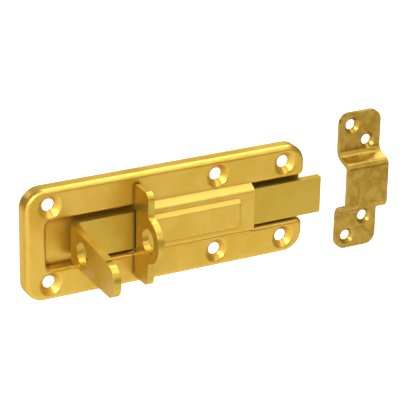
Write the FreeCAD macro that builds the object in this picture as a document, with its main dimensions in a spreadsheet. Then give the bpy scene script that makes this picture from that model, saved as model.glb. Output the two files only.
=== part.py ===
import FreeCAD, Part
import math
import os
import Sketcher

# A surface-mounted padbolt: a pressed plate, a padlock staple, a sliding bolt
# with a folded handle, and a keeper that stands apart.
# X runs along the bolt towards the keeper, Z is up, and the door's surface
# is the plane Y = 0, with -Y pointing out of the door.
# The origin is on the door's surface, straight behind the staple's padlock eye.
# Each piece is drawn from the middle of the plate, and its placement then moves
# it along X to that origin.

doc = FreeCAD.newDocument("padbolt")

# Driving dimensions in millimetres
DIMENSIONS = [
    ("plate_length", 120.0, "plate along the bolt"),
    ("plate_width", 45.4, "plate across the bolt"),
    ("plate_depth", 6.0, "door to the plate's face"),
    ("sheet_gauge", 2.0, "plate sheet thickness"),
    ("corner_round", 8.0, "plate corners seen from the front"),
    ("floor_gap", 0.3, "channel floor short of the plate's right end"),
    ("rim_round", 2.1, "bend from the face to the turned-back rim"),
    ("lip_round", 1.8, "bend into the tray"),
    ("mouth_round", 2.8, "corners where the channel leaves the plate"),
    ("tray_inset", 8.8, "plate's left end to the tray's"),
    ("tray_half", 9.7, "half width of the tray"),
    ("tray_round", 2.2, "tray corners seen from the front"),
    ("channel_half", 9.1, "half width of the open channel"),
    ("staple_left", 15.2, "plate's middle to the staple's left face"),
    ("staple_gauge", 2.7, "staple thickness"),
    ("seat_gap", 0.05, "clearance between the staple and the plate"),
    ("channel_length", 24.2, "guide's right end to the plate's"),
    ("guide_rise", 3.2, "plate's face to the guide's face"),
    ("guide_foot", 10.2, "half width of the guide at its foot"),
    ("guide_top", 8.3, "half width of the guide's face"),
    ("guide_round", 1.5, "bends of the guide"),
    ("foot_round", 0.9, "concave bend at the guide's foot"),
    ("rib_inset", 7.2, "rib's right end to the guide's"),
    ("rib_rise", 2.1, "guide's face to the rib's face"),
    ("rib_foot", 6.1, "half width of the rib at its foot"),
    ("rib_top", 5.0, "half width of the rib's face"),
    ("rib_round", 0.8, "bends of the rib"),
    ("screw_left", 10.2, "plate's left end to the nearest screw holes"),
    ("screw_right", 9.1, "plate's right end to the nearest screw holes"),
    ("screw_middle", 21.0, "plate's middle to the middle screw holes"),
    ("screw_half", 15.8, "half spacing of the screw rows"),
    ("screw_radius", 2.5, "plate screw holes"),
    ("dimple_depth", 2.2, "pressed countersink depth"),
    ("dimple_land", 0.6, "straight wall of a plate screw hole"),
    ("dimple_round", 1.2, "rounded lip of a dimple"),
    ("dimple_wall", 2.5, "cone behind a dimple, past the cone in front"),
    ("bolt_gauge", 3.0, "bolt bar thickness"),
    ("bolt_half", 7.6, "half width of the bolt bar"),
    ("bolt_face", 6.8, "door to the bolt's front face"),
    ("bolt_stand_out", 7.2, "plate's right end to the bolt's"),
    ("side_gap", 0.3, "clearance beside the bolt in the guide"),
    ("roof_gap", 0.3, "clearance over the bolt in the guide"),
    ("slide_gap", 0.05, "clearance under the bolt on its runners"),
    ("tray_runner", 16.0, "length of the runner in the tray"),
    ("channel_runner", 11.5, "length of the runner in the channel"),
    ("runner_half", 4.5, "half width of the runners"),
    ("runner_round", 0.8, "bends of the runners"),
    ("runner_wall", 1.6, "wall left round the hollow of a runner"),
    ("handle_room", 9.2, "tray's left end to the handle's root"),
    ("handle_lean", 2.0, "lean of the handle at its tip"),
    ("handle_reach", 48.4, "door to the handle's tip"),
    ("tip_length", 8.0, "small step in the handle's upper edge to its tip"),
    ("handle_step_half", 6.95, "handle's middle to its upper edge before the step"),
    ("handle_tip_half", 6.2, "half width of the handle's tip"),
    ("tip_round", 5.7, "corners of the handle's tip"),
    ("fold_round", 1.5, "inside radius of the handle's fold"),
    ("eye_reach", 18.0, "door to the centre of the padlock eyes"),
    ("eye_radius", 4.9, "padlock eyes"),
    ("staple_half", 19.1, "half height of the staple"),
    ("wing_reach", 18.2, "door to the staple's shoulders"),
    ("wing_round", 3.0, "corners of the staple's shoulders"),
    ("root_round", 1.4, "corners of the staple on the plate"),
    ("hump_radius", 8.9, "round hump about the padlock eye"),
    ("hump_blend", 2.0, "concave corner between hump and shoulder"),
    ("notch_half", 8.6, "half width of the staple's notch"),
    ("notch_gap", 1.2, "notch roof over the bolt"),
    ("tenon_near", 13.6, "bolt's middle to a tenon's near side"),
    ("tenon_far", 17.6, "bolt's middle to a tenon's far side"),
    ("tenon_stand", 0.5, "tenon proud of the sheet's back"),
    ("keeper_gap", 11.15, "bolt's right end to the keeper"),
    ("keeper_lift", 0.7, "keeper's middle above the bolt's middle"),
    ("keeper_width", 18.8, "keeper along the bolt"),
    ("keeper_half", 29.3, "half height of the keeper"),
    ("keeper_gauge", 2.0, "keeper thickness"),
    ("keeper_rise", 7.7, "flange face to raised face"),
    ("keeper_top", 9.95, "half height of the raised face"),
    ("keeper_foot", 12.2, "half height of the step at the flange"),
    ("keeper_inset", 1.5, "front corners to back corners of the steps"),
    ("keeper_bend", 1.2, "inside radius of the bends at the raised face"),
    ("flange_bend", 3.2, "inside radius of the bends at the flanges"),
    ("flange_round", 4.5, "outer corners of the keeper"),
    ("keeper_outer_x", 4.1, "keeper's middle to its outer holes along X"),
    ("keeper_inner_x", 3.6, "keeper's middle to its inner holes along X"),
    ("keeper_screw_far", 24.1, "keeper's middle to its outer holes"),
    ("keeper_screw_near", 16.6, "keeper's middle to its inner holes"),
    ("keeper_screw_radius", 2.15, "keeper screw holes"),
    ("keeper_sink_radius", 3.4, "keeper countersinks at the face"),
    ("keeper_sink_depth", 1.25, "keeper countersink depth"),
    ("overcut", 1.0, "how far cuts run past a surface"),
    ("overlap", 0.5, "how far pads start inside the solid"),
]

sheet = doc.addObject("Spreadsheet::Sheet", "dims")
sheet.Label = "driving dimensions"


class Size:
    """A length and the spreadsheet expression that drives it."""

    def __init__(self, value, text):
        self.value = value
        self.text = text

    def __add__(self, other):
        return Size(self.value + other.value, "(%s + %s)" % (self.text, other.text))

    def __sub__(self, other):
        return Size(self.value - other.value, "(%s - %s)" % (self.text, other.text))

    def __mul__(self, factor):
        return Size(self.value * factor, "(%s * %s)" % (self.text, factor))

    def __neg__(self):
        return Size(-self.value, "(0 - %s)" % self.text)

    def times(self, other, divisor):
        """This length scaled by the ratio of two others."""
        value = self.value * other.value / divisor.value
        return Size(value, "(%s * %s / %s)" % (self.text, other.text, divisor.text))


d = {}
for row, (alias, value, note) in enumerate(DIMENSIONS, start=1):
    sheet.set("A%d" % row, note)
    sheet.set("B%d" % row, str(value))
    sheet.setAlias("B%d" % row, alias)
    d[alias] = Size(value, "dims." + alias)
doc.recompute()

ZERO = Size(0.0, "0")
PAST = d["overcut"]

# A lip of radius 1 between a flat face and a 45 degree cone: how deep its arc
# reaches, and how far its end on the face lies outside the sharp corner
LIP_DROP = 1 - math.sqrt(0.5)
LIP_FLARE = math.sqrt(2) - 1


def bind(target, name, size):
    """Set a property and keep it driven by the sheet."""
    setattr(target, name, size.value)
    target.setExpression(name, size.text)


def new_body(name):
    body = doc.addObject("PartDesign::Body", name)
    body.Label = name
    return body


def sketch_on(body, name, role, lift=None):
    """Sketch on one of the body's origin planes, lifted along its normal."""
    plane = [item for item in body.Origin.OriginFeatures if item.Role == role][0]
    sketch = body.newObject("Sketcher::SketchObject", name)
    sketch.AttachmentSupport = [(plane, "")]
    sketch.MapMode = "FlatFace"
    if lift is not None:
        sketch.AttachmentOffset = FreeCAD.Placement(FreeCAD.Vector(0, 0, lift.value), FreeCAD.Rotation())
        sketch.setExpression(".AttachmentOffset.Base.z", lift.text)
    return sketch


def vector(corner):
    return FreeCAD.Vector(corner[0].value, corner[1].value, 0)


def hold(sketch, item, point, corner):
    """Hold a point of the sketch at its two distances from the origin."""
    for kind, size in (("DistanceX", corner[0]), ("DistanceY", corner[1])):
        if size.text == "0":
            axis = -2 if kind == "DistanceX" else -1
            sketch.addConstraint(Sketcher.Constraint("PointOnObject", item, point, axis))
            continue
        number = sketch.addConstraint(Sketcher.Constraint(kind, -1, 1, item, point, size.value))
        sketch.setExpression("Constraints[%d]" % number, size.text)


def add_loop(sketch, corners):
    """Closed loop of straight lines through the corners."""
    first = sketch.GeometryCount
    count = len(corners)
    for index, corner in enumerate(corners):
        following = corners[(index + 1) % count]
        sketch.addGeometry(Part.LineSegment(vector(corner), vector(following)), False)
    for index in range(count):
        after = first + (index + 1) % count
        sketch.addConstraint(Sketcher.Constraint("Coincident", first + index, 2, after, 1))
    for index, corner in enumerate(corners):
        hold(sketch, first + index, 1, corner)


def add_rounded_box(sketch, half_x, half_z, corner_round, steps):
    """Loop round a box on the origin with arcs at its corners.

    steps are the corners of a notch in its right side, from low to high.
    """
    flat_x = half_x - corner_round
    flat_z = half_z - corner_round
    runs = [
        [(-flat_x, -half_z), (flat_x, -half_z)],
        [(half_x, -flat_z)] + steps + [(half_x, flat_z)],
        [(flat_x, half_z), (-flat_x, half_z)],
        [(-half_x, flat_z), (-half_x, -flat_z)],
    ]
    ends = []
    for run in runs:
        first = sketch.GeometryCount
        for start, end in zip(run, run[1:]):
            item = sketch.addGeometry(Part.LineSegment(vector(start), vector(end)), False)
            hold(sketch, item, 1, start)
            if item > first:
                sketch.addConstraint(Sketcher.Constraint("Coincident", item - 1, 2, item, 1))
        last = sketch.GeometryCount - 1
        hold(sketch, last, 2, run[-1])
        ends.append((first, last))
    reach = corner_round.value * LIP_DROP
    signs = [(1, -1), (1, 1), (-1, 1), (-1, -1)]
    for index, (side_x, side_z) in enumerate(signs):
        start = vector(runs[index][-1])
        end = vector(runs[(index + 1) % 4][0])
        middle = FreeCAD.Vector(side_x * (half_x.value - reach), side_z * (half_z.value - reach), 0)
        arc = sketch.addGeometry(Part.Arc(start, middle, end), False)
        line = ends[index][1]
        following = ends[(index + 1) % 4][0]
        sketch.addConstraint(Sketcher.Constraint("Coincident", line, 2, arc, 1))
        sketch.addConstraint(Sketcher.Constraint("Coincident", arc, 2, following, 1))
        number = sketch.addConstraint(Sketcher.Constraint("Radius", arc, corner_round.value))
        sketch.setExpression("Constraints[%d]" % number, corner_round.text)


def add_box(sketch, left, right, low, high):
    add_loop(sketch, [(left, low), (right, low), (right, high), (left, high)])


def add_circle(sketch, centre, radius):
    item = sketch.addGeometry(Part.Circle(vector(centre), FreeCAD.Vector(0, 0, 1), radius.value), False)
    hold(sketch, item, 3, centre)
    number = sketch.addConstraint(Sketcher.Constraint("Radius", item, radius.value))
    sketch.setExpression("Constraints[%d]" % number, radius.text)


def pad(body, name, sketch, length, reverse=False, middle=False):
    feature = body.newObject("PartDesign::Pad", name)
    feature.Profile = sketch
    bind(feature, "Length", length)
    feature.Reversed = reverse
    if middle:
        feature.SideType = "Symmetric"
    doc.recompute()
    return feature


def pocket(body, name, sketch, length, reverse=False, middle=False):
    """Cut a sketch out of the body, and stop if nothing is cut."""
    before = body.Shape.Volume
    feature = body.newObject("PartDesign::Pocket", name)
    feature.Profile = sketch
    bind(feature, "Length", length)
    feature.Reversed = reverse
    if middle:
        feature.SideType = "Symmetric"
    doc.recompute()
    if not body.Shape.Volume < before - 0.01:
        raise ValueError(name + " cuts nothing")
    return feature


def round_edges(body, name, radius, test):
    """Fillet every edge of the body's tip whose middle passes the test."""
    tip = body.Tip
    names = []
    for number, edge in enumerate(tip.Shape.Edges, start=1):
        middle = edge.valueAt((edge.FirstParameter + edge.LastParameter) / 2)
        if test(edge, middle):
            names.append("Edge%d" % number)
    if not names:
        raise ValueError(name + " finds no edge")
    feature = body.newObject("PartDesign::Fillet", name)
    feature.Base = (tip, names)
    bind(feature, "Radius", radius)
    doc.recompute()
    if "Invalid" in feature.State or "Error" in feature.State or feature.Shape.isNull():
        raise ValueError(name + " fails on %d edges" % len(names))
    return feature


def turn(body, name, place, height, outline, lip, add):
    """Turn an outline about a screw's axis, to add to the body or cut it.

    Outline corners are distances from the axis and along Y. A lip radius
    turns the line after the cone into an arc.
    """
    sketch = sketch_on(body, name + "_outline", "XY_Plane", height)
    corners = [(place + radius if radius.text != "0" else place, level) for radius, level in outline]
    count = len(corners)
    first = sketch.GeometryCount
    arc = None
    for index, corner in enumerate(corners):
        start = vector(corner)
        end = vector(corners[(index + 1) % count])
        if lip is not None and index == 3:
            centre = FreeCAD.Vector(end.x, end.y + lip.value, 0)
            bulge = ((start + end) * 0.5 - centre).normalize() * lip.value + centre
            arc = sketch.addGeometry(Part.Arc(start, bulge, end), False)
        else:
            sketch.addGeometry(Part.LineSegment(start, end), False)
    turned_arc = arc is not None and sketch.Geometry[arc].StartPoint.distanceToPoint(vector(corners[3])) > 0.01
    for index in range(count):
        here = first + index
        after = first + (index + 1) % count
        here_point = 1 if here == arc and turned_arc else 2
        after_point = 2 if after == arc and turned_arc else 1
        sketch.addConstraint(Sketcher.Constraint("Coincident", here, here_point, after, after_point))
    for index, corner in enumerate(corners):
        point = 2 if first + index == arc and turned_arc else 1
        hold(sketch, first + index, point, corner)
    if arc is not None:
        number = sketch.addConstraint(Sketcher.Constraint("Radius", arc, lip.value))
        sketch.setExpression("Constraints[%d]" % number, lip.text)
    axis_start = vector(corners[0])
    axis_end = vector(corners[-1])
    axis = sketch.addGeometry(Part.LineSegment(axis_start, axis_end), True)
    hold(sketch, axis, 1, corners[0])
    hold(sketch, axis, 2, corners[-1])
    before = body.Shape.Volume
    feature = body.newObject("PartDesign::Revolution" if add else "PartDesign::Groove", name)
    feature.Profile = sketch
    feature.ReferenceAxis = (sketch, ["Axis0"])
    feature.Angle = 360
    doc.recompute()
    if abs(body.Shape.Volume - before) < 0.01:
        raise ValueError(name + " changes nothing")
    return feature


def mirror(body, name, features):
    """Repeat features on the other side of the plane Z = 0."""
    plane = [item for item in body.Origin.OriginFeatures if item.Role == "XY_Plane"][0]
    feature = body.newObject("PartDesign::Mirrored", name)
    feature.Originals = features
    feature.MirrorPlane = (plane, [""])
    body.Tip = feature
    doc.recompute()
    return feature


def set_down(body, along_bolt, lift):
    """Place a finished piece along X and up."""
    body.Placement = FreeCAD.Placement(FreeCAD.Vector(along_bolt.value, 0, lift.value), FreeCAD.Rotation())
    body.setExpression(".Placement.Base.x", along_bolt.text)
    if lift.text != "0":
        body.setExpression(".Placement.Base.z", lift.text)
    doc.recompute()


def near(value, size):
    """True where a measured value is a size of the sheet."""
    return abs(value - size.value) < 0.02


def along(edge, direction):
    """True for a straight edge that runs in a direction."""
    if edge.Curve.TypeId != "Part::GeomLine":
        return False
    run = edge.Vertexes[-1].Point - edge.Vertexes[0].Point
    return run.Length > 0.01 and abs(run.normalize().dot(direction)) > 0.999


AXIS_X = FreeCAD.Vector(1, 0, 0)
AXIS_Y = FreeCAD.Vector(0, 1, 0)
AXIS_Z = FreeCAD.Vector(0, 0, 1)

# Places that more than one piece shares
half_length = d["plate_length"] * 0.5
half_width = d["plate_width"] * 0.5
tray_left = half_length - d["tray_inset"]
guide_left = -(d["staple_left"] - d["staple_gauge"] - d["seat_gap"] - d["seat_gap"])
guide_right = half_length - d["channel_length"]
guide_face = d["plate_depth"] + d["guide_rise"]
rib_face = guide_face + d["rib_rise"]
bolt_back = d["bolt_face"] - d["bolt_gauge"]
guide_inside = d["bolt_face"] + d["roof_gap"]
inner_half = d["bolt_half"] + d["side_gap"]
runner_face = bolt_back - d["slide_gap"]
bolt_right = half_length + d["bolt_stand_out"]
staple_middle = d["staple_left"] - d["staple_gauge"] * 0.5


def build_plate():
    """Pressed plate: rim, tray, channel, guide with its rib, screw dimples."""
    body = new_body("base_plate")

    outline = sketch_on(body, "plate_outline", "XZ_Plane")
    add_loop(outline, [
        (-half_length, -half_width),
        (half_length, -half_width),
        (half_length, -d["channel_half"]),
        (guide_right, -d["channel_half"]),
        (guide_right, d["channel_half"]),
        (half_length, d["channel_half"]),
        (half_length, half_width),
        (-half_length, half_width),
    ])
    add_box(outline, -tray_left, guide_left, -d["tray_half"], d["tray_half"])
    pad(body, "plate_block", outline, d["plate_depth"])

    round_edges(body, "plate_corners", d["corner_round"], lambda edge, middle: (
        along(edge, AXIS_Y) and abs(middle.x) > half_length.value - 0.1
        and abs(middle.z) > half_width.value - 0.1))
    round_edges(body, "channel_mouth", d["mouth_round"], lambda edge, middle: (
        along(edge, AXIS_Y) and near(middle.x, half_length)
        and near(abs(middle.z), d["channel_half"])))
    round_edges(body, "tray_corners", d["tray_round"], lambda edge, middle: (
        along(edge, AXIS_Y) and near(middle.x, -tray_left)))
    round_edges(body, "plate_rim", d["rim_round"], lambda edge, middle: (
        near(middle.y, -d["plate_depth"]) and along(edge, AXIS_X)
        and near(abs(middle.z), half_width)))
    round_edges(body, "tray_lip", d["lip_round"], lambda edge, middle: (
        near(middle.y, -d["plate_depth"]) and along(edge, AXIS_Z)
        and near(middle.x, -tray_left)))

    # The hollow behind the face leaves the rim and the walls of tray and channel
    gauge = d["sheet_gauge"]
    hollow = sketch_on(body, "hollow_outline", "XZ_Plane")
    hollow_x = half_length - gauge
    wall_z = d["channel_half"] + gauge
    wall_x = guide_right - gauge
    steps = [(hollow_x, -wall_z), (wall_x, -wall_z), (wall_x, wall_z), (hollow_x, wall_z)]
    add_rounded_box(hollow, hollow_x, half_width - gauge, d["corner_round"] - gauge, steps)
    add_box(hollow, -(tray_left + gauge), guide_left, -(d["tray_half"] + gauge), d["tray_half"] + gauge)
    pocket(body, "hollow", hollow, d["plate_depth"] - gauge, reverse=True)

    # Floors of the tray and the channel lie on the door
    floors = sketch_on(body, "floor_outline", "XZ_Plane")
    half_gauge = gauge * 0.5
    add_box(floors, -(tray_left + half_gauge), guide_left,
            -(d["tray_half"] + half_gauge), d["tray_half"] + half_gauge)
    add_box(floors, guide_right - half_gauge, half_length - d["floor_gap"],
            -(d["channel_half"] + half_gauge), d["channel_half"] + half_gauge)
    pad(body, "floors", floors, gauge)

    # Raised runners carry the bolt over the floors
    runners = sketch_on(body, "runner_outline", "XZ_Plane", gauge - d["overlap"])
    runner = d["runner_half"]
    tray_start = guide_left - gauge
    channel_start = guide_right + gauge
    add_box(runners, tray_start - d["tray_runner"], tray_start, -runner, runner)
    add_box(runners, channel_start, channel_start + d["channel_runner"], -runner, runner)
    pad(body, "runners", runners, runner_face - gauge + d["overlap"])
    round_edges(body, "runner_bends", d["runner_round"], lambda edge, middle: (
        near(middle.y, -runner_face) and abs(middle.z) < runner.value + 0.1))

    # The guide stands proud of the face, and its rib stands proud of the guide
    guide = sketch_on(body, "guide_section", "YZ_Plane", guide_left)
    root = -(d["plate_depth"] - half_gauge)
    add_loop(guide, [
        (root, -d["guide_foot"]),
        (-d["plate_depth"], -d["guide_foot"]),
        (-guide_face, -d["guide_top"]),
        (-guide_face, d["guide_top"]),
        (-d["plate_depth"], d["guide_foot"]),
        (root, d["guide_foot"]),
    ])
    pad(body, "guide", guide, guide_right - guide_left)
    rib_right = guide_right - d["rib_inset"]
    rib = sketch_on(body, "rib_section", "YZ_Plane", guide_left)
    rib_root = -(guide_face - half_gauge)
    add_loop(rib, [
        (rib_root, -d["rib_foot"]),
        (-guide_face, -d["rib_foot"]),
        (-rib_face, -d["rib_top"]),
        (-rib_face, d["rib_top"]),
        (-guide_face, d["rib_foot"]),
        (rib_root, d["rib_foot"]),
    ])
    pad(body, "rib", rib, rib_right - guide_left)
    round_edges(body, "guide_bends", d["guide_round"], lambda edge, middle: (
        along(edge, AXIS_X) and near(middle.y, -guide_face) and near(abs(middle.z), d["guide_top"])))
    round_edges(body, "rib_bends", d["rib_round"], lambda edge, middle: (
        near(middle.y, -rib_face) and middle.x > guide_left.value + 0.1))
    round_edges(body, "foot_bends", d["foot_round"], lambda edge, middle: (
        along(edge, AXIS_X) and near(middle.y, -d["plate_depth"])
        and near(abs(middle.z), d["guide_foot"])))

    # Inside of the guide and its rib, open at the back and at both ends
    tunnel = sketch_on(body, "tunnel_outline", "XZ_Plane")
    add_box(tunnel, guide_left, guide_right, -inner_half, inner_half)
    pocket(body, "tunnel", tunnel, guide_inside, reverse=True)
    rib_inside = sketch_on(body, "rib_inside_outline", "XZ_Plane")
    add_box(rib_inside, guide_left, rib_right - gauge, -(d["rib_top"] - gauge), d["rib_top"] - gauge)
    pocket(body, "rib_inside", rib_inside, rib_face - gauge, reverse=True)
    runner_inside = sketch_on(body, "runner_inside_outline", "XZ_Plane")
    wall = d["runner_wall"]
    core = runner - wall
    add_box(runner_inside, tray_start - d["tray_runner"] + wall, tray_start - wall, -core, core)
    add_box(runner_inside, channel_start + wall, channel_start + d["channel_runner"] - wall, -core, core)
    pocket(body, "runner_inside", runner_inside, runner_face - gauge, reverse=True)

    # Slots that take the staple's tenons
    slots = sketch_on(body, "slot_outline", "XZ_Plane")
    slot_left = -(d["staple_left"] + d["seat_gap"])
    low = d["tenon_near"] - d["seat_gap"]
    high = d["tenon_far"] + d["seat_gap"]
    add_box(slots, slot_left, guide_left - d["seat_gap"], low, high)
    add_box(slots, slot_left, guide_left - d["seat_gap"], -high, -low)
    pocket(body, "slots", slots, d["plate_depth"] + PAST, reverse=True)

    # Pressed countersinks: a cone behind the sheet, then the hollow cone in front
    depth = d["plate_depth"]
    bottom = depth - d["dimple_depth"]
    back = bottom - d["dimple_land"]
    behind = d["screw_radius"] + d["dimple_depth"] - gauge + d["dimple_wall"]
    tip_radius = d["screw_radius"] + d["dimple_wall"] - d["dimple_land"]
    lip = d["dimple_round"]
    mouth = d["screw_radius"] + d["dimple_depth"]
    cone_end = (mouth - lip * LIP_DROP, -(depth - lip * LIP_DROP))
    flare = mouth + lip * LIP_FLARE
    features = []
    for name, place in (("left", d["screw_left"] - half_length), ("middle", d["screw_middle"]),
                        ("right", half_length - d["screw_right"])):
        cone = [(ZERO, -(depth - gauge * 0.5)), (behind, -(depth - gauge * 0.5)), (behind, -(depth - gauge)),
                (tip_radius, -back), (ZERO, -back)]
        features.append(turn(body, "dimple_back_" + name, place, d["screw_half"], cone, None, True))
        cut = [(ZERO, PAST), (d["screw_radius"], PAST), (d["screw_radius"], -bottom), cone_end,
               (flare, -depth), (flare, -(depth + PAST)), (ZERO, -(depth + PAST))]
        features.append(turn(body, "dimple_" + name, place, d["screw_half"], cut, lip, False))
    mirror(body, "dimples_below", features)
    set_down(body, staple_middle, ZERO)
    return body


def build_staple():
    """Flat stamped ear across the plate, with the padlock eye in its hump."""
    body = new_body("padlock_staple")
    left = -d["staple_left"]
    gauge = d["staple_gauge"]
    wings = sketch_on(body, "wing_outline", "YZ_Plane", left)
    add_box(wings, -d["wing_reach"], -d["plate_depth"], -d["staple_half"], d["staple_half"])
    pad(body, "wings", wings, gauge)
    round_edges(body, "wing_corners", d["wing_round"], lambda edge, middle: (
        along(edge, AXIS_X) and near(middle.y, -d["wing_reach"])))
    round_edges(body, "root_corners", d["root_round"], lambda edge, middle: (
        along(edge, AXIS_X) and near(middle.y, -d["plate_depth"])))
    hump = sketch_on(body, "hump_outline", "YZ_Plane", left)
    add_circle(hump, (-d["eye_reach"], ZERO), d["hump_radius"])
    pad(body, "hump", hump, gauge)
    round_edges(body, "hump_corners", d["hump_blend"], lambda edge, middle: (
        along(edge, AXIS_X) and near(middle.y, -d["wing_reach"])
        and abs(middle.z) < (d["staple_half"] - d["wing_round"]).value - 0.1))
    tenons = sketch_on(body, "tenon_outline", "YZ_Plane", left)
    tenon_root = -(d["plate_depth"] + gauge)
    tenon_end = -(d["plate_depth"] - d["sheet_gauge"] - d["tenon_stand"])
    add_box(tenons, tenon_root, tenon_end, d["tenon_near"], d["tenon_far"])
    add_box(tenons, tenon_root, tenon_end, -d["tenon_far"], -d["tenon_near"])
    pad(body, "tenons", tenons, gauge)
    notch = sketch_on(body, "notch_outline", "YZ_Plane", left)
    roof = -(d["bolt_face"] + d["notch_gap"])
    add_box(notch, roof, -(d["plate_depth"] - PAST), -d["notch_half"], d["notch_half"])
    pocket(body, "notch", notch, gauge, reverse=True)
    eye = sketch_on(body, "eye_outline", "YZ_Plane", left)
    add_circle(eye, (-d["eye_reach"], ZERO), d["eye_radius"])
    pocket(body, "eye", eye, gauge, reverse=True)
    set_down(body, staple_middle, ZERO)
    return body


def build_bolt():
    """Flat bar whose left end is folded out into the handle."""
    body = new_body("sliding_bolt")
    gauge = d["bolt_gauge"]
    handle_left = tray_left - d["handle_room"]
    root = -handle_left
    tip = root - d["handle_lean"]
    lean_in_gauge = d["handle_lean"].times(gauge, d["handle_reach"] - bolt_back)
    side = sketch_on(body, "bolt_side", "XY_Plane")
    add_loop(side, [
        (bolt_right, -bolt_back),
        (root, -bolt_back),
        (tip, -d["handle_reach"]),
        (tip + gauge, -d["handle_reach"]),
        (root + gauge - lean_in_gauge, -d["bolt_face"]),
        (bolt_right, -d["bolt_face"]),
    ])
    pad(body, "bolt_bar", side, d["bolt_half"] * 2, middle=True)
    round_edges(body, "fold_outside", d["fold_round"] + gauge, lambda edge, middle: (
        along(edge, AXIS_Z) and near(middle.x, root) and near(middle.y, -bolt_back)))
    round_edges(body, "fold_inside", d["fold_round"], lambda edge, middle: (
        along(edge, AXIS_Z) and near(middle.y, -d["bolt_face"]) and middle.x < 0))

    # The handle narrows towards its round tip
    sides = sketch_on(body, "handle_sides", "YZ_Plane")
    start = -(d["bolt_face"] + d["fold_round"])
    step = -(d["handle_reach"] - d["tip_length"])
    end = -(d["handle_reach"] + PAST)
    outside = d["bolt_half"] + PAST
    add_loop(sides, [
        (start, d["bolt_half"]),
        (step, d["handle_step_half"]),
        (step, d["handle_tip_half"]),
        (end, d["handle_tip_half"]),
        (end, outside),
        (start, outside),
    ])
    add_loop(sides, [
        (start, -d["bolt_half"]),
        (end, -d["handle_tip_half"]),
        (end, -outside),
        (start, -outside),
    ])
    reach = (handle_left + d["handle_lean"] + PAST) * 2
    pocket(body, "handle_taper", sides, reach, middle=True)
    round_edges(body, "tip_corners", d["tip_round"], lambda edge, middle: (
        along(edge, AXIS_X) and near(middle.y, -d["handle_reach"])))
    eye = sketch_on(body, "handle_eye_outline", "YZ_Plane")
    add_circle(eye, (-d["eye_reach"], ZERO), d["eye_radius"])
    pocket(body, "handle_eye", eye, reach, middle=True)
    set_down(body, staple_middle, ZERO)
    return body


def build_keeper():
    """Hat-shaped strap with two countersunk holes in each flange."""
    body = new_body("keeper")
    gauge = d["keeper_gauge"]
    rise = d["keeper_rise"]
    face = gauge + rise
    foot = d["keeper_foot"]
    top = d["keeper_top"]
    foot_behind = foot - d["keeper_inset"]
    top_behind = top - d["keeper_inset"]
    half = d["keeper_half"]
    section = sketch_on(body, "keeper_section", "YZ_Plane")
    add_loop(section, [
        (-gauge, -half),
        (-gauge, -foot),
        (-face, -top),
        (-face, top),
        (-gauge, foot),
        (-gauge, half),
        (ZERO, half),
        (ZERO, foot_behind),
        (-rise, top_behind),
        (-rise, -top_behind),
        (ZERO, -foot_behind),
        (ZERO, -half),
    ])
    pad(body, "keeper_strap", section, d["keeper_width"], middle=True)
    round_edges(body, "top_bends_inside", d["keeper_bend"], lambda edge, middle: (
        along(edge, AXIS_X) and near(middle.y, -rise) and near(abs(middle.z), top_behind)))
    round_edges(body, "top_bends_outside", d["keeper_bend"] + gauge, lambda edge, middle: (
        along(edge, AXIS_X) and near(middle.y, -face)))
    round_edges(body, "flange_bends_inside", d["flange_bend"], lambda edge, middle: (
        along(edge, AXIS_X) and near(middle.y, -gauge) and near(abs(middle.z), foot)))
    round_edges(body, "flange_bends_outside", d["flange_bend"] + gauge, lambda edge, middle: (
        along(edge, AXIS_X) and near(middle.y, ZERO) and near(abs(middle.z), foot_behind)))
    round_edges(body, "keeper_corners", d["flange_round"], lambda edge, middle: (
        along(edge, AXIS_Y) and near(abs(middle.z), half)))
    radius = d["keeper_screw_radius"]
    sink = d["keeper_sink_radius"]
    cut = [(ZERO, PAST), (radius, PAST), (radius, -(gauge - d["keeper_sink_depth"])), (sink, -gauge),
           (sink, -(gauge + PAST)), (ZERO, -(gauge + PAST))]
    outer = turn(body, "outer_screw", -d["keeper_outer_x"], d["keeper_screw_far"], cut, None, False)
    inner = turn(body, "inner_screw", d["keeper_inner_x"], d["keeper_screw_near"], cut, None, False)
    mirror(body, "lower_screws", [outer, inner])
    keeper_middle = bolt_right + d["keeper_gap"] + d["keeper_width"] * 0.5
    set_down(body, staple_middle + keeper_middle, d["keeper_lift"])
    return body


def check_and_write(bodies):
    """Stop on a failed object, and write each piece's solid."""
    for item in doc.Objects:
        if "Invalid" in item.State or "Error" in item.State:
            raise ValueError("failed object: " + item.Name)
    os.makedirs("parts", exist_ok=True)
    for body in bodies:
        shape = body.Shape
        if shape.isNull() or not shape.isValid() or len(shape.Solids) != 1:
            raise ValueError("bad shape: " + body.Label)
        shape.exportStep("parts/" + body.Label + ".step")
        print(body.Label, round(shape.Volume, 1), shape.BoundBox)


pieces = [build_plate(), build_staple(), build_bolt(), build_keeper()]
doc.recompute()
check_and_write(pieces)
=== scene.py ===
"""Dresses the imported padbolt: yellow zinc-plated steel, softened edges, floor, lamps and camera."""

import math

import bmesh
import bpy
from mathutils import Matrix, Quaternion, Vector


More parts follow.
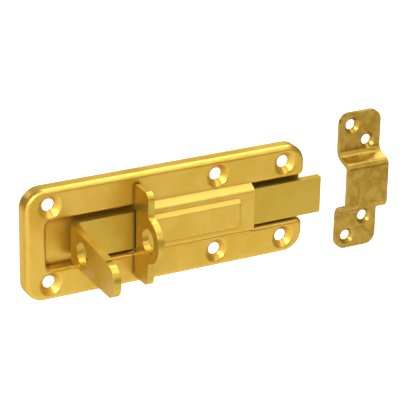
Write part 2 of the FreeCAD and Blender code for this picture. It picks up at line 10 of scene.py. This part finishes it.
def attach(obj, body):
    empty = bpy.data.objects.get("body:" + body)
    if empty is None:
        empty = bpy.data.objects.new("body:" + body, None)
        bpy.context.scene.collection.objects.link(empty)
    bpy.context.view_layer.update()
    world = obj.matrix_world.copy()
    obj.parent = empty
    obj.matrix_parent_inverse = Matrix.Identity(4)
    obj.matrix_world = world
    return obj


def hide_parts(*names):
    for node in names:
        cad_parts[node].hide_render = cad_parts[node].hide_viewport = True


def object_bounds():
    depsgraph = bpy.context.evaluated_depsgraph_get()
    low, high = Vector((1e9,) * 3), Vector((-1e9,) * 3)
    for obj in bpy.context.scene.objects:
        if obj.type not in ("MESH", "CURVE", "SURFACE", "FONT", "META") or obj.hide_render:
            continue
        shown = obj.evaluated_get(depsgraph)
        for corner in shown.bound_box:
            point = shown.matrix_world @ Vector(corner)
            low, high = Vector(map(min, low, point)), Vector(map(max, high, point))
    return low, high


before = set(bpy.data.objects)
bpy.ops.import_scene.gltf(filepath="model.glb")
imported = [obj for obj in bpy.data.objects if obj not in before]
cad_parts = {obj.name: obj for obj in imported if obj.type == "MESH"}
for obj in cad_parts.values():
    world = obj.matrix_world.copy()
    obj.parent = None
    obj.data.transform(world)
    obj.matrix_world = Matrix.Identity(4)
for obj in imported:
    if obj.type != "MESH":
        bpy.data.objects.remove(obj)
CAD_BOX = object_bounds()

bl_info = {
    "name": "Padbolt dressing",
    "version": (1, 0, 0),
    "blender": (4, 5, 0),
    "location": "3D View > Sidebar > Padbolt",
    "description": "Finishes the parts of a padlock door bolt and lights them",
    "category": "Object",
}

MM = 0.001
X, Z = 0, 2

# The photograph's frame and the fitted camera
PICTURE_WIDTH = 408  # pixels
FOCAL_LENGTH = 2082  # pixels
SENSOR_WIDTH = 36  # millimetres

# Merging and rounding of the copies
WELD_GAP = 0.002 * MM
FLAT_ANGLE = math.radians(0.6)
SHARP_ANGLE = math.radians(32)

# The zinc's finish
MARK_WIDTH = 0.7 * MM
MARK_LENGTH = 14 * MM
GRAIN_SIZE = 0.5 * MM
# Painted shade in folds and corners: how far it reaches, and the dark olive it darkens to
PAINTED_SHADE_REACH = 2.6 * MM
PAINTED_SHADE_COLOUR = "#544C22"
GRAZING_COLOUR = "#D9B45A"

# The white card's glow, and the share of it that reflections show
CARD_GLOW = 0.8
MIRRORED_SHARE = 0.4

# Lamps: name, place from the camera's target and size in metres, watts
LAMPS = (
    # In front: the key, which throws the shadows, and three that fill them
    ("front_key", (-0.26, -0.38, 0.32), (0.18, 0.16), 2.4),
    ("left_box", (-0.8, -0.5, 0.2), (0.5, 0.8), 2.6),
    ("upper_right", (0.4, -0.68, 0.45), (0.22, 0.22), 1.0),
    ("lower_left", (-0.42, -0.7, -0.33), (0.16, 0.3), 0.8),
    # Above: the bright bands on the guide, the keeper's bends and the handle's edge
    ("top_box", (0.4, -0.15, 0.9), (0.6, 0.35), 3.0),
    ("upper_card", (0.3, -0.5, 0.9), (0.5, 0.3), 1.0),
    ("top_back", (0.44, 0.44, 0.78), (0.4, 0.3), 3.8),
    # Behind: the upper rim, the rounded corners and the handle's outer end
    ("back_card", (0.12, 0.9, 0.42), (1.5, 0.5), 1.5),
    ("back_left", (-0.42, 0.86, 0.46), (0.3, 0.25), 0.5),
    ("back_low", (-0.2, 0.36, -0.17), (0.22, 0.16), 0.06),
)


def linear(code):
    """Linear RGBA of an sRGB hex colour."""
    channels = [int(code[i:i + 2], 16) / 255 for i in (1, 3, 5)]
    return tuple(
        c / 12.92 if c <= 0.04045 else ((c + 0.055) / 1.055) ** 2.4
        for c in channels) + (1.0,)


class PadboltFinish(bpy.types.PropertyGroup):
    """Colours and edge sizes of the metal."""

    sheet_colour: bpy.props.FloatVectorProperty(
        name="Sheet colour", description="Yellow passivated zinc on the plate",
        subtype="COLOR", size=4, min=0, max=1, default=linear("#D1A838"))
    sheet_tint: bpy.props.FloatVectorProperty(
        name="Sheet tint", description="Paler patches where the passivation is thin",
        subtype="COLOR", size=4, min=0, max=1, default=linear("#DAB34C"))
    bar_colour: bpy.props.FloatVectorProperty(
        name="Bar colour", description="Deeper yellow zinc of the bolt and the staple",
        subtype="COLOR", size=4, min=0, max=1, default=linear("#C29E30"))
    bar_tint: bpy.props.FloatVectorProperty(
        name="Bar tint", description="Greener patches on the bolt and the staple",
        subtype="COLOR", size=4, min=0, max=1, default=linear("#C8A640"))
    strap_colour: bpy.props.FloatVectorProperty(
        name="Keeper colour", description="Browner zinc of the keeper",
        subtype="COLOR", size=4, min=0, max=1, default=linear("#A07A1E"))
    strap_tint: bpy.props.FloatVectorProperty(
        name="Keeper tint", description="Paler smudges on the keeper",
        subtype="COLOR", size=4, min=0, max=1, default=linear("#BC9A3C"))
    plate_edge: bpy.props.FloatProperty(
        name="Plate edge", description="Rounding of the plate's pressed edges",
        subtype="DISTANCE", unit="LENGTH", min=0, default=0.22 * MM)
    cut_edge: bpy.props.FloatProperty(
        name="Cut edge", description="Rounding of the sheared and tumbled edges",
        subtype="DISTANCE", unit="LENGTH", min=0, default=0.3 * MM)


class PadboltStage(bpy.types.PropertyGroup):
    """Camera, lamps and floor."""

    azimuth: bpy.props.FloatProperty(
        name="Azimuth", description="Camera's turn to the right of straight on",
        subtype="ANGLE", unit="ROTATION", default=math.radians(-28.5))
    elevation: bpy.props.FloatProperty(
        name="Elevation", description="Camera's height above level",
        subtype="ANGLE", unit="ROTATION", default=math.radians(23.2))
    roll: bpy.props.FloatProperty(
        name="Roll", description="Camera's tilt about its own axis",
        subtype="ANGLE", unit="ROTATION", default=math.radians(1.16))
    distance: bpy.props.FloatProperty(
        name="Distance", description="Camera to the point it looks at",
        subtype="DISTANCE", unit="LENGTH", min=0.1, default=812 * MM)
    target: bpy.props.FloatVectorProperty(
        name="Target", description="Point the camera looks at",
        subtype="TRANSLATION", unit="LENGTH", default=(32.15 * MM, 0.0, 2.1 * MM))
    lens: bpy.props.FloatProperty(
        name="Lens", description="Focal length in millimetres",
        min=10, default=FOCAL_LENGTH / PICTURE_WIDTH * SENSOR_WIDTH)
    floor_drop: bpy.props.FloatProperty(
        name="Floor drop", description="Floor below the lowest point of the padbolt",
        subtype="DISTANCE", unit="LENGTH", min=0, default=180 * MM)
    floor_size: bpy.props.FloatProperty(
        name="Floor size", description="Side of the square floor",
        subtype="DISTANCE", unit="LENGTH", min=1, default=9.0)
    lamp_level: bpy.props.FloatProperty(
        name="Lamp level", description="Factor on every lamp", min=0, default=0.95)
    sky_level: bpy.props.FloatProperty(
        name="Sky level", description="Even light from all round", min=0, default=0.12)


def add_node(tree, kind, inputs=None, **settings):
    """Add a node, set its attributes, and set or link its inputs."""
    node = tree.nodes.new(kind)
    for name, value in settings.items():
        setattr(node, name, value)
    for name, value in (inputs or {}).items():
        if isinstance(value, bpy.types.NodeSocket):
            tree.links.new(value, node.inputs[name])
        else:
            node.inputs[name].default_value = value
    return node


def yellow_zinc(name, colour, tint, patch, along, mark_depth, rough):
    """Zinc-plated, yellow-passivated mild steel.

    The cloudy chromate film is a satin gold that drifts in hue over `patch`
    and scatters a fifth of the light, so the shading is a little under a full
    metal's; a thin clear layer gives the pale highlights. Rolling marks of
    about 0.1 mm run `along` the sheet, drawn here at MARK_WIDTH so that they
    show. `rough` is the range of the roughness.
    """
    material = bpy.data.materials.new(name)
    material.use_nodes = True
    tree = material.node_tree
    shader = tree.nodes["Principled BSDF"]
    place = add_node(tree, "ShaderNodeTexCoord").outputs["Object"]
    # Painted shade in the folds and corners: the colour darkens towards a dark olive where ambient
    # occlusion finds them
    fold_occlusion = add_node(
        tree, "ShaderNodeAmbientOcclusion", {"Distance": PAINTED_SHADE_REACH}, samples=8)
    painted_shade = add_node(tree, "ShaderNodeMapRange", {
        "Value": fold_occlusion.outputs["AO"], "From Min": 0.35, "From Max": 0.8,
        "To Min": 0.9, "To Max": 0.0})
    # Thickness of the film
    film = add_node(tree, "ShaderNodeTexNoise", {
        "Vector": place, "Scale": 1 / patch,
        "Detail": 4.0, "Roughness": 0.64, "Distortion": 0.6})
    film_range = add_node(tree, "ShaderNodeMapRange", {
        "Value": film.outputs["Fac"], "From Min": 0.38, "From Max": 0.62})
    mixed = add_node(tree, "ShaderNodeMix", {
        "Factor": film_range.outputs["Result"], "A": colour,
        "B": tint}, data_type="RGBA")
    # Rolling marks: noise drawn out along one direction
    stretch = [1 / MARK_WIDTH] * 3
    stretch[along] = 1 / MARK_LENGTH
    drawn = add_node(tree, "ShaderNodeMapping", {"Vector": place, "Scale": stretch})
    marks = add_node(tree, "ShaderNodeTexNoise", {
        "Vector": drawn.outputs["Vector"], "Scale": 1.0, "Detail": 2.0, "Roughness": 0.6})
    # Grain of the pickled surface
    grain = add_node(tree, "ShaderNodeTexNoise", {
        "Vector": place, "Scale": 1 / GRAIN_SIZE, "Detail": 2.0})
    relief = add_node(tree, "ShaderNodeMath", {
        0: marks.outputs["Fac"], 1: grain.outputs["Fac"]}, operation="ADD")
    bump = add_node(tree, "ShaderNodeBump", {
        "Height": relief.outputs["Value"], "Distance": mark_depth, "Strength": 1.0})
    gloss = add_node(tree, "ShaderNodeMapRange", {
        "Value": film.outputs["Fac"], "From Min": 0.3, "From Max": 0.7,
        "To Min": rough[0], "To Max": rough[1]})
    # Base colour darkened towards the painted shade's colour in folds and corners
    base_with_painted_shade = add_node(tree, "ShaderNodeMix", {
        "Factor": painted_shade.outputs["Result"], "A": mixed.outputs["Result"],
        "B": linear(PAINTED_SHADE_COLOUR)}, data_type="RGBA")
    tree.links.new(base_with_painted_shade.outputs["Result"], shader.inputs["Base Color"])
    tree.links.new(gloss.outputs["Result"], shader.inputs["Roughness"])
    tree.links.new(bump.outputs["Normal"], shader.inputs["Normal"])
    shader.inputs["Metallic"].default_value = 0.8
    shader.inputs["Specular Tint"].default_value = linear(GRAZING_COLOUR)
    shader.inputs["Coat Weight"].default_value = 0.3
    shader.inputs["Coat Roughness"].default_value = 0.2
    return material


def white_card():
    """Matt white card. A glow adds to what the lamps give it, less of it in
    reflections, so that it reads as white and still takes a shadow."""
    material = bpy.data.materials.new("matt_white_card")
    material.use_nodes = True
    tree = material.node_tree
    shader = tree.nodes["Principled BSDF"]
    output = tree.nodes["Material Output"]
    shader.inputs["Base Color"].default_value = linear("#F2F2F2")
    shader.inputs["Roughness"].default_value = 0.9
    rays = add_node(tree, "ShaderNodeLightPath")
    mirrored = add_node(tree, "ShaderNodeMath", {
        0: rays.outputs["Is Glossy Ray"], 1: MIRRORED_SHARE}, operation="MULTIPLY")
    seen = add_node(tree, "ShaderNodeMath", {
        0: rays.outputs["Is Camera Ray"], 1: mirrored.outputs["Value"]}, operation="MAXIMUM")
    seen = add_node(tree, "ShaderNodeMath", {
        0: seen.outputs["Value"], 1: rays.outputs["Is Transmission Ray"]}, operation="MAXIMUM")
    level = add_node(tree, "ShaderNodeMath", {
        0: seen.outputs["Value"], 1: CARD_GLOW}, operation="MULTIPLY")
    glow = add_node(tree, "ShaderNodeEmission", {
        "Color": (1, 1, 1, 1), "Strength": level.outputs["Value"]})
    both = add_node(tree, "ShaderNodeAddShader", {
        0: shader.outputs["BSDF"], 1: glow.outputs["Emission"]})
    tree.links.new(both.outputs["Shader"], output.inputs["Surface"])
    return material


def softened_copy(node, name, edge, material):
    """Merged copy of a CAD node, with its sharp edges rounded by `edge`."""
    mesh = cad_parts[node].data.copy()
    mesh.name = name
    shape = bmesh.new()
    shape.from_mesh(mesh)
    bmesh.ops.remove_doubles(shape, verts=shape.verts, dist=WELD_GAP)
    bmesh.ops.dissolve_limit(
        shape, angle_limit=FLAT_ANGLE, verts=shape.verts, edges=shape.edges)
    for face in shape.faces:
        face.smooth = True
    shape.to_mesh(mesh)
    shape.free()
    mesh.materials.clear()
    mesh.materials.append(material)
    piece = bpy.data.objects.new(name, mesh)
    bpy.context.collection.objects.link(piece)
    bevel = piece.modifiers.new("tumbled_edges", "BEVEL")
    bevel.width = edge
    bevel.segments = 2
    bevel.limit_method = "ANGLE"
    bevel.angle_limit = SHARP_ANGLE
    bevel.miter_outer = "MITER_ARC"
    bevel.use_clamp_overlap = True
    even = piece.modifiers.new("even_shading", "WEIGHTED_NORMAL")
    even.keep_sharp = False
    return piece


def dress(node, name, edge, body, material):
    """Show a softened copy in place of the CAD node, on the same body."""
    piece = softened_copy(node, name, edge, material)
    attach(piece, body)
    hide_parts(node)
    return {"FINISHED"}


class PADBOLT_OT_plate(bpy.types.Operator):
    """Dress the pressed plate with its tray, channel and guide"""

    bl_idname = "padbolt.plate"
    bl_label = "Pressed plate"

    def execute(self, context):
        finish = context.scene.padbolt_finish
        metal = yellow_zinc(
            "yellow_zinc_pressed_sheet", finish.sheet_colour, finish.sheet_tint,
            patch=16 * MM, along=X, mark_depth=0.006 * MM, rough=(0.36, 0.44))
        return dress("base_plate", "plate_pressing", finish.plate_edge, "plate", metal)


class PADBOLT_OT_staple(bpy.types.Operator):
    """Dress the upright padlock staple"""

    bl_idname = "padbolt.staple"
    bl_label = "Padlock staple"

    def execute(self, context):
        finish = context.scene.padbolt_finish
        metal = yellow_zinc(
            "yellow_zinc_stamped_plate", finish.bar_colour, finish.bar_tint,
            patch=9 * MM, along=Z, mark_depth=0.006 * MM, rough=(0.36, 0.44))
        return dress("padlock_staple", "staple_plate", finish.cut_edge, "plate", metal)


class PADBOLT_OT_bolt(bpy.types.Operator):
    """Dress the sliding bolt and its folded handle"""

    bl_idname = "padbolt.bolt"
    bl_label = "Sliding bolt"

    def execute(self, context):
        finish = context.scene.padbolt_finish
        metal = yellow_zinc(
            "yellow_zinc_folded_bar", finish.bar_colour, finish.bar_tint,
            patch=12 * MM, along=X, mark_depth=0.008 * MM, rough=(0.36, 0.44))
        return dress("sliding_bolt", "bolt_bar", finish.cut_edge, "bolt", metal)


class PADBOLT_OT_keeper(bpy.types.Operator):
    """Dress the hat-shaped keeper"""

    bl_idname = "padbolt.keeper"
    bl_label = "Keeper"

    def execute(self, context):
        finish = context.scene.padbolt_finish
        metal = yellow_zinc(
            "yellow_zinc_mottled_strap", finish.strap_colour, finish.strap_tint,
            patch=4 * MM, along=Z, mark_depth=0.008 * MM, rough=(0.34, 0.44))
        return dress("keeper", "keeper_strap", finish.cut_edge, "plate", metal)


def add_lamp(name, place, size, watts, stage):
    """Soft lamp at a place measured from the camera's target, facing it."""
    data = bpy.data.lights.new(name, "AREA")
    data.shape = "RECTANGLE"
    data.size, data.size_y = size
    data.energy = watts * stage.lamp_level
    lamp = bpy.data.objects.new(name, data)
    bpy.context.collection.objects.link(lamp)
    aim = -Vector(place)
    lamp.location = Vector(stage.target) - aim
    lamp.rotation_mode = "QUATERNION"
    lamp.rotation_quaternion = aim.to_track_quat("-Z", "Y")


def add_card(name, place, size, material, stage):
    """Square card at a place measured from the camera's target, facing it."""
    card = bmesh.new()
    bmesh.ops.create_grid(card, x_segments=1, y_segments=1, size=size / 2)
    facing = (-Vector(place)).to_track_quat("Z", "Y").to_matrix().to_4x4()
    facing.translation = Vector(stage.target) + Vector(place)
    bmesh.ops.transform(card, matrix=facing, verts=card.verts)
    mesh = bpy.data.meshes.new(name)
    card.to_mesh(mesh)
    card.free()
    mesh.materials.append(material)
    piece = bpy.data.objects.new(name, mesh)
    bpy.context.collection.objects.link(piece)


class PADBOLT_OT_stage(bpy.types.Operator):
    """Add the white floor, the soft lamps and the even sky"""

    bl_idname = "padbolt.stage"
    bl_label = "Floor and lamps"

    def execute(self, context):
        stage = context.scene.padbolt_stage
        drop = CAD_BOX[0].z - stage.floor_drop - stage.target[2]
        add_card("floor_card", (0.0, 0.0, drop), stage.floor_size, white_card(), stage)
        for name, place, size, watts in LAMPS:
            add_lamp(name, place, size, watts, stage)

        world = bpy.data.worlds.new("even_sky")
        world.use_nodes = True
        tree = world.node_tree
        sky = tree.nodes["Background"]
        sky.inputs["Color"].default_value = (1, 1, 1, 1)
        # White, which is strength 1, to the camera, and the sky's level elsewhere
        rays = add_node(tree, "ShaderNodeLightPath")
        level = add_node(tree, "ShaderNodeMath", {
            0: rays.outputs["Is Camera Ray"], 1: stage.sky_level}, operation="MAXIMUM")
        tree.links.new(level.outputs["Value"], sky.inputs["Strength"])
        context.scene.world = world
        context.scene.view_settings.view_transform = "Standard"
        return {"FINISHED"}


class PADBOLT_OT_camera(bpy.types.Operator):
    """Add the camera at the photograph's viewing angle"""

    bl_idname = "padbolt.camera"
    bl_label = "Camera"

    def execute(self, context):
        stage = context.scene.padbolt_stage
        data = bpy.data.cameras.new("photo_camera")
        data.sensor_width = SENSOR_WIDTH
        data.lens = stage.lens
        data.clip_start = 0.05
        data.clip_end = 50
        camera = bpy.data.objects.new("photo_camera", data)
        context.collection.objects.link(camera)
        turn, rise = stage.azimuth, stage.elevation
        back = Vector((
            math.sin(turn) * math.cos(rise),
            -math.cos(turn) * math.cos(rise),
            math.sin(rise)))
        camera.location = Vector(stage.target) + back * stage.distance
        camera.rotation_mode = "QUATERNION"
        level = (-back).to_track_quat("-Z", "Y")
        camera.rotation_quaternion = level @ Quaternion((0, 0, 1), stage.roll)
        context.scene.camera = camera
        return {"FINISHED"}


OPERATORS = (
    PADBOLT_OT_plate, PADBOLT_OT_staple, PADBOLT_OT_bolt, PADBOLT_OT_keeper,
    PADBOLT_OT_stage, PADBOLT_OT_camera)


class PADBOLT_PT_sidebar(bpy.types.Panel):
    """Lists the padbolt's pieces and its stage"""

    bl_label = "Padbolt"
    bl_idname = "PADBOLT_PT_sidebar"
    bl_space_type = "VIEW_3D"
    bl_region_type = "UI"
    bl_category = "Padbolt"

    def draw(self, context):
        layout = self.layout
        for operator in OPERATORS:
            layout.operator(operator.bl_idname)
        for group in (context.scene.padbolt_finish, context.scene.padbolt_stage):
            box = layout.box()
            for name in group.__annotations__:
                box.prop(group, name)


CLASSES = (PadboltFinish, PadboltStage) + OPERATORS + (PADBOLT_PT_sidebar,)


def register():
    """Register the classes and put their settings on the scene."""
    for item in CLASSES:
        bpy.utils.register_class(item)
    bpy.types.Scene.padbolt_finish = bpy.props.PointerProperty(type=PadboltFinish)
    bpy.types.Scene.padbolt_stage = bpy.props.PointerProperty(type=PadboltStage)


def unregister():
    """Take the settings off the scene and unregister the classes."""
    del bpy.types.Scene.padbolt_stage
    del bpy.types.Scene.padbolt_finish
    for item in reversed(CLASSES):
        bpy.utils.unregister_class(item)


def main():
    """Register the add-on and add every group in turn."""
    register()
    for operator in OPERATORS:
        group, name = operator.bl_idname.split(".")
        getattr(getattr(bpy.ops, group), name)()


if __name__ == "__main__":
    main()
